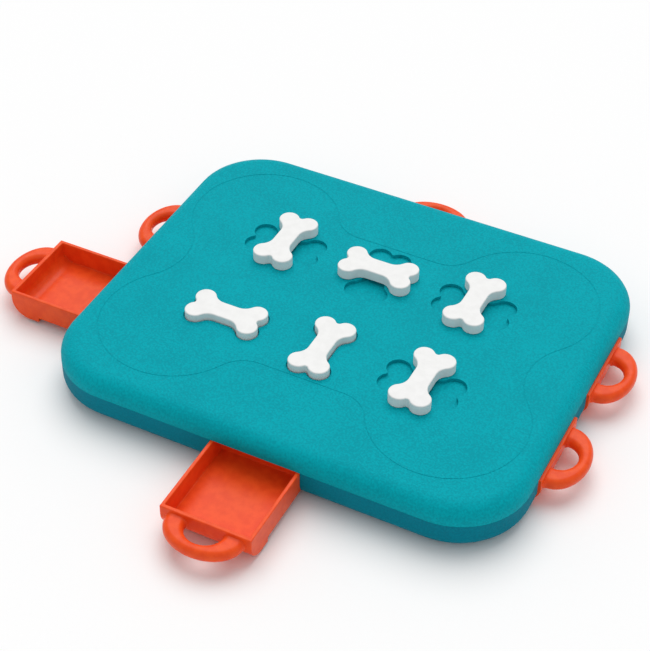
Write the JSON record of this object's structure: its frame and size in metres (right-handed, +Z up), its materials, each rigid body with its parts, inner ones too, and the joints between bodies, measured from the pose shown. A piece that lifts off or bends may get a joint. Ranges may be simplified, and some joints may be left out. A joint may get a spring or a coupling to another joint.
{
  "type": "dog puzzle feeder toy",
  "caption": "Low rounded plate with pull-out food drawers on its four sides and turning bone-shaped lock blocks in recesses on top.",
  "frame": {"origin": "middle of the plate on the floor, on the middle foot's face", "axes": "+X along the plate, +Y to its back, +Z up"},
  "size_m": [0.527, 0.46, 0.0533],
  "materials": {
    "cover_teal": "fine grain",
    "base_teal": "fine grain",
    "drawer_orange": "satin",
    "bone_white": "fine satin",
    "bush_teal": "fine grain",
    "foot_rubber": "matte",
    "screw_steel": "plated"
  },
  "bodies": {
    "plate": {"top_cover": "cover_teal", "base_tray": "base_teal", "case_screws": "screw_steel", "foot_middle": "foot_rubber", "foot_front_left": "foot_rubber", "foot_front_right": "foot_rubber", "foot_back_left": "foot_rubber", "foot_back_right": "foot_rubber", "guide_left_back": "base_teal", "guide_back": "base_teal", "guide_right_back": "base_teal", "guide_left_front": "base_teal", "guide_front": "base_teal", "guide_right_front": "base_teal", "lock_bush_4": "bush_teal", "lock_bush_5": "bush_teal"},
    "drawer_left_back": {"drawer_left_back": "drawer_orange"},
    "drawer_back": {"drawer_back": "drawer_orange"},
    "drawer_right_back": {"drawer_right_back": "drawer_orange"},
    "drawer_left_front": {"drawer_left_front": "drawer_orange"},
    "drawer_front": {"drawer_front": "drawer_orange"},
    "drawer_right_front": {"drawer_right_front": "drawer_orange"},
    "lock_bush_1": {"lock_bush_1": "bush_teal"},
    "bone_1": {"bone_1": "bone_white"},
    "lock_bush_2": {"lock_bush_2": "bush_teal"},
    "bone_2": {"bone_2": "bone_white"},
    "lock_bush_3": {"lock_bush_3": "bush_teal"},
    "bone_3": {"bone_3": "bone_white"},
    "bone_4": {"bone_4": "bone_white"},
    "bone_5": {"bone_5": "bone_white"},
    "lock_bush_6": {"lock_bush_6": "bush_teal"},
    "bone_6": {"bone_6": "bone_white"}
  },
  "joints": [
    {"name": "drawer_left_back_slide", "type": "slide", "parent": "plate", "child": "drawer_left_back", "axis": [-1, 0, 0], "range_m": [0, 0.077]},
    {"name": "drawer_back_slide", "type": "slide", "parent": "plate", "child": "drawer_back", "axis": [0, 1, 0], "range_m": [0, 0.077]},
    {"name": "drawer_right_back_slide", "type": "slide", "parent": "plate", "child": "drawer_right_back", "axis": [1, 0, 0], "range_m": [0, 0.077]},
    {"name": "drawer_left_front_slide", "type": "slide", "parent": "plate", "child": "drawer_left_front", "axis": [-1, 0, 0], "range_m": [-0.07, 0.007]},
    {"name": "drawer_front_slide", "type": "slide", "parent": "plate", "child": "drawer_front", "axis": [0, -1, 0], "range_m": [-0.073, 0.004]},
    {"name": "drawer_right_front_slide", "type": "slide", "parent": "plate", "child": "drawer_right_front", "axis": [1, 0, 0], "range_m": [0, 0.077]},
    {"name": "bone_1_turn", "type": "hinge", "parent": "plate", "child": "lock_bush_1", "pos_m": [-0.087, 0.052, 0.04], "axis": [0, 0, 1], "range_deg": [0, 90]},
    {"name": "bone_1_lift", "type": "slide", "parent": "lock_bush_1", "child": "bone_1", "axis": [0, 0, 1], "range_m": [0, 0.03]},
    {"name": "bone_2_turn", "type": "hinge", "parent": "plate", "child": "lock_bush_2", "pos_m": [0, 0.052, 0.04], "axis": [0, 0, 1], "range_deg": [0, 90]},
    {"name": "bone_2_lift", "type": "slide", "parent": "lock_bush_2", "child": "bone_2", "axis": [0, 0, 1], "range_m": [0, 0.03]},
    {"name": "bone_3_turn", "type": "hinge", "parent": "plate", "child": "lock_bush_3", "pos_m": [0.087, 0.052, 0.04], "axis": [0, 0, 1], "range_deg": [0, 90]},
    {"name": "bone_3_lift", "type": "slide", "parent": "lock_bush_3", "child": "bone_3", "axis": [0, 0, 1], "range_m": [0, 0.03]},
    {"name": "bone_4_lift", "type": "slide", "parent": "plate", "child": "bone_4", "axis": [0, 0, 1], "range_m": [0, 0.03]},
    {"name": "bone_5_lift", "type": "slide", "parent": "plate", "child": "bone_5", "axis": [0, 0, 1], "range_m": [0, 0.03]},
    {"name": "bone_6_turn", "type": "hinge", "parent": "plate", "child": "lock_bush_6", "pos_m": [0.087, -0.052, 0.04], "axis": [0, 0, 1], "range_deg": [0, 90]},
    {"name": "bone_6_lift", "type": "slide", "parent": "lock_bush_6", "child": "bone_6", "axis": [0, 0, 1], "range_m": [0, 0.03]}
  ]
}
